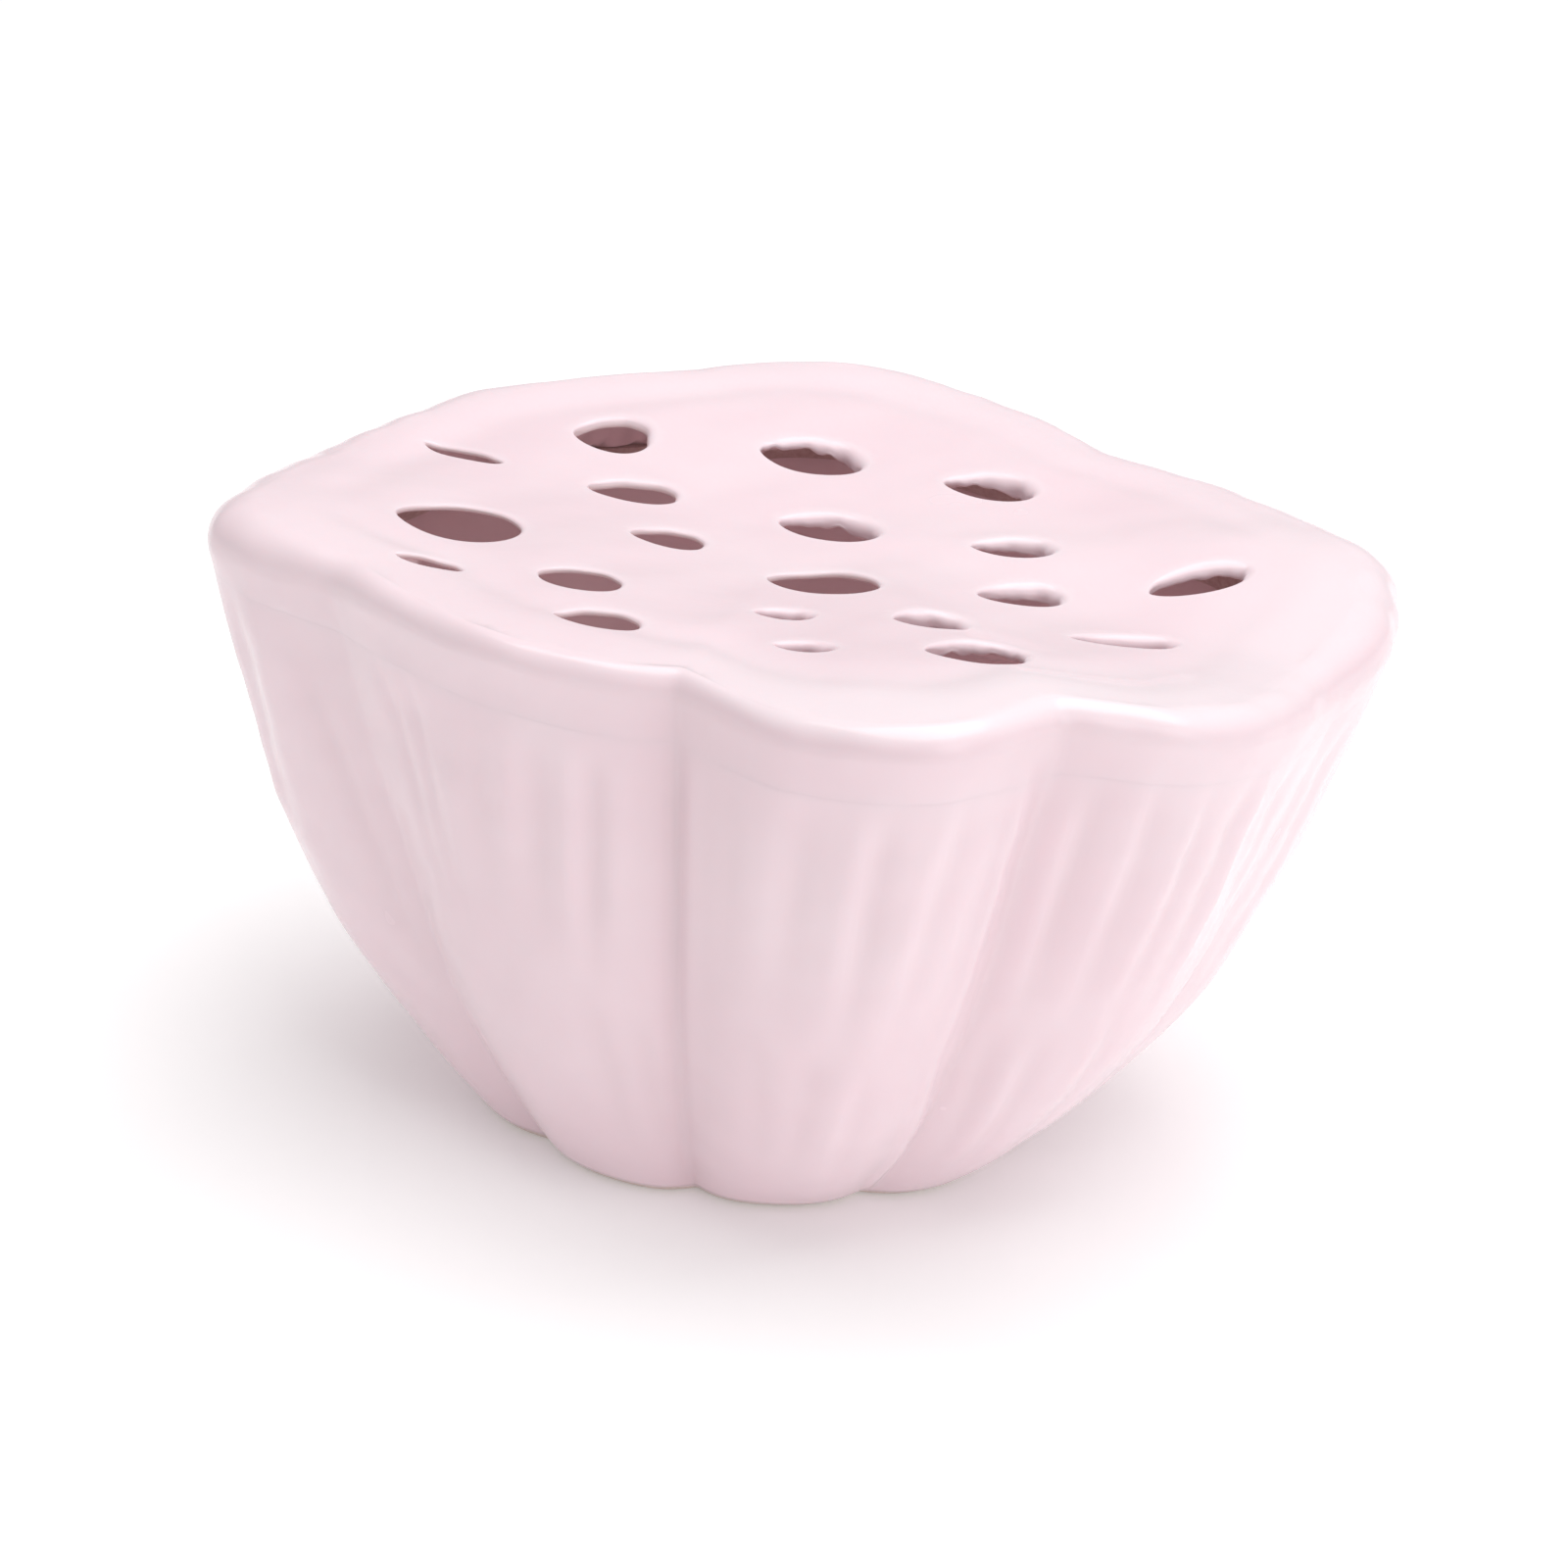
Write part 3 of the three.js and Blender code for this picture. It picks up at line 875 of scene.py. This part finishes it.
def glaze():
    """Thick pale pink glaze over a light body, bare under the foot. It is painted paler where thin on edges,
    partly as a highlight, darker where deep in grooves, partly as shade, and paler inside the pod, with a
    painted glow.
    """
    material, node, surface, links = shader("pink_glaze")
    place = node("ShaderNodeTexCoord").outputs["Object"]
    clouds = node("ShaderNodeTexNoise", {"Vector": place, "Scale": 34, "Detail": 3, "Roughness": 0.5})
    tint = tinted(node, clouds.outputs["Fac"], GLAZE_TINTS)
    pool = node("ShaderNodeAttribute", attribute_name="pool").outputs["Fac"]
    # Share of deep glaze, painted darker partly as shade.
    outside = node("ShaderNodeMapRange", {"Value": pool, "From Min": 0, "From Max": 1})
    # Share of the inside surfaces, whose glaze is painted paler and given a painted glow.
    inside = node("ShaderNodeMapRange", {"Value": pool, "From Min": 1, "From Max": INSIDE})
    # Share of thin glaze, painted paler partly as a highlight.
    edge = node("ShaderNodeMapRange", {"Value": pool, "From Min": 0, "From Max": -1})
    thin_and_highlit = mixed(node, edge.outputs["Result"], tint, THIN_GLAZE_AND_HIGHLIGHT)
    thick_and_shaded = mixed(node, outside.outputs["Result"], thin_and_highlit, THICK_GLAZE_AND_SHADE)
    glaze_with_painted_light = mixed(node, inside.outputs["Result"], thick_and_shaded, INSIDE_GLAZE_PAINTED_PALER)
    height = node("ShaderNodeSeparateXYZ", {"Vector": place}).outputs["Z"]
    ragged = node("ShaderNodeTexNoise", {"Vector": place, "Scale": 260, "Detail": 2})
    line = node("ShaderNodeMath", {0: ragged.outputs["Fac"], 1: GLAZE_LINE_RAGGED}, operation="MULTIPLY")
    above = node("ShaderNodeMath", {0: height, 1: line.outputs[0]}, operation="SUBTRACT")
    begins, ends = GLAZE_LINE
    glazed = node("ShaderNodeMapRange", {"Value": above.outputs[0], "From Min": begins, "From Max": ends})
    clay_grain = node("ShaderNodeTexNoise", {"Vector": place, "Scale": 1500, "Detail": 4})
    clay = tinted(node, clay_grain.outputs["Fac"], FOOT_CLAY)
    colour = mixed(node, glazed.outputs["Result"], clay, glaze_with_painted_light)
    links.new(colour, surface.inputs["Base Color"])
    patches = node("ShaderNodeTexNoise", {"Vector": place, "Scale": 90, "Detail": 2})
    glossy = node("ShaderNodeMapRange", {"Value": patches.outputs["Fac"], "To Min": 0.2, "To Max": 0.3})
    rough = mixed(node, glazed.outputs["Result"], 0.8, glossy.outputs["Result"], "FLOAT")
    links.new(rough, surface.inputs["Roughness"])
    peel = node("ShaderNodeTexNoise", {"Vector": place, "Scale": 420, "Detail": 2})
    ripple = node("ShaderNodeTexNoise", {"Vector": place, "Scale": 130, "Detail": 1})
    fine = node("ShaderNodeBump", {"Height": peel.outputs["Fac"], "Strength": 0.25, "Distance": 0.00008})
    broad = node("ShaderNodeBump", {"Height": ripple.outputs["Fac"], "Strength": 0.3, "Distance": 0.0002})
    links.new(fine.outputs["Normal"], broad.inputs["Normal"])
    links.new(broad.outputs["Normal"], surface.inputs["Normal"])
    # A painted glow: light given off by the surfaces inside the pod, which are no lamp.
    painted_glow = node("ShaderNodeMath", {0: inside.outputs["Result"], 1: PAINTED_GLOW}, operation="MULTIPLY")
    links.new(painted_glow.outputs[0], surface.inputs["Emission Strength"])
    surface.inputs["Emission Color"].default_value = PAINTED_GLOW_COLOUR
    surface.inputs["IOR"].default_value = 1.45
    surface.inputs["Specular IOR Level"].default_value = 0.4
    surface.inputs["Subsurface Weight"].default_value = 0.12
    surface.inputs["Subsurface Radius"].default_value = (1.0, 0.55, 0.5)
    surface.inputs["Subsurface Scale"].default_value = 0.0015
    surface.inputs["Coat Weight"].default_value = 0.22
    surface.inputs["Coat Roughness"].default_value = 0.06
    return material


def bare_clay():
    """Fired clay without glaze, blotched and grainy."""
    material, node, surface, links = shader("bare_clay")
    place = node("ShaderNodeTexCoord").outputs["Object"]
    grain = node("ShaderNodeTexNoise", {"Vector": place, "Scale": 1400, "Detail": 5})
    blotch = node("ShaderNodeTexNoise", {"Vector": place, "Scale": 90, "Detail": 2})
    marks = mixed(node, 0.4, grain.outputs["Fac"], blotch.outputs["Fac"], "FLOAT")
    links.new(tinted(node, marks, COIL_CLAY), surface.inputs["Base Color"])
    bump = node("ShaderNodeBump", {"Height": marks, "Strength": 0.5, "Distance": 0.0003})
    links.new(bump.outputs["Normal"], surface.inputs["Normal"])
    surface.inputs["Roughness"].default_value = 0.82
    return material


def make_floor():
    """A plain pale floor, which gives off a little light."""
    bpy.ops.mesh.primitive_plane_add(size=6)
    floor = bpy.context.object
    floor.name = "floor"
    material, _, surface, _ = shader("floor_paint")
    surface.inputs["Base Color"].default_value = (0.96, 0.955, 0.955, 1)
    surface.inputs["Roughness"].default_value = 0.9
    surface.inputs["Specular IOR Level"].default_value = 0.2
    surface.inputs["Emission Color"].default_value = (1, 1, 1, 1)
    surface.inputs["Emission Strength"].default_value = 0.15
    floor.data.materials.append(material)


def area_light(name, place, size, watts):
    """A soft square light at a place in metres, turned to the pod."""
    data = bpy.data.lights.new(name, "AREA")
    data.shape = "SQUARE"
    data.size = size
    data.energy = watts
    light = bpy.data.objects.new(name, data)
    light.location = place
    light.rotation_euler = (Vector(LIGHT_AIM) - Vector(place)).to_track_quat("-Z", "Y").to_euler()
    bpy.context.scene.collection.objects.link(light)


def light_scene():
    """A pale world and the soft lights, shown without a film look."""
    world = bpy.data.worlds.new("studio")
    world.use_nodes = True
    world.node_tree.nodes["Background"].inputs["Color"].default_value = WORLD_COLOUR
    world.node_tree.nodes["Background"].inputs["Strength"].default_value = WORLD_STRENGTH
    bpy.context.scene.world = world
    for light in LIGHTS:
        area_light(*light)
    bpy.context.scene.view_settings.view_transform = "Standard"


def make_camera():
    """The camera stands in front of the pod, a little above it, and is rolled slightly."""
    elevation = math.radians(CAMERA_ELEVATION)
    roll = math.radians(CAMERA_ROLL)
    target = Vector(CAMERA_TARGET) * MM
    back = Vector((0, -math.cos(elevation), math.sin(elevation)))
    right = Vector((1, 0, 0))
    up = back.cross(right)
    rolled_right = right * math.cos(roll) + up * math.sin(roll)
    rolled_up = up * math.cos(roll) - right * math.sin(roll)
    data = bpy.data.cameras.new("camera")
    data.lens = CAMERA_LENS
    data.sensor_width = CAMERA_SENSOR
    camera = bpy.data.objects.new("camera", data)
    turned = Matrix((rolled_right, rolled_up, back)).transposed().to_4x4()
    camera.matrix_world = Matrix.Translation(target + back * CAMERA_DISTANCE * MM) @ turned
    bpy.context.scene.collection.objects.link(camera)
    bpy.context.scene.camera = camera


def add_pieces():
    """Makes the three pieces, each in place of its node of the part."""
    glazed = glaze()
    clay = bare_clay()
    made = [
        (make_cup(glazed), "pod_cup", "pink_glaze"),
        (make_plate(glazed), "seed_plate", "pink_glaze"),
        (make_coil(clay), "luting_coil", "bare_clay"),
    ]
    for piece, node, slot in made:
        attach(piece, "root")
        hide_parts(node)


add_pieces()
make_floor()
light_scene()
make_camera()
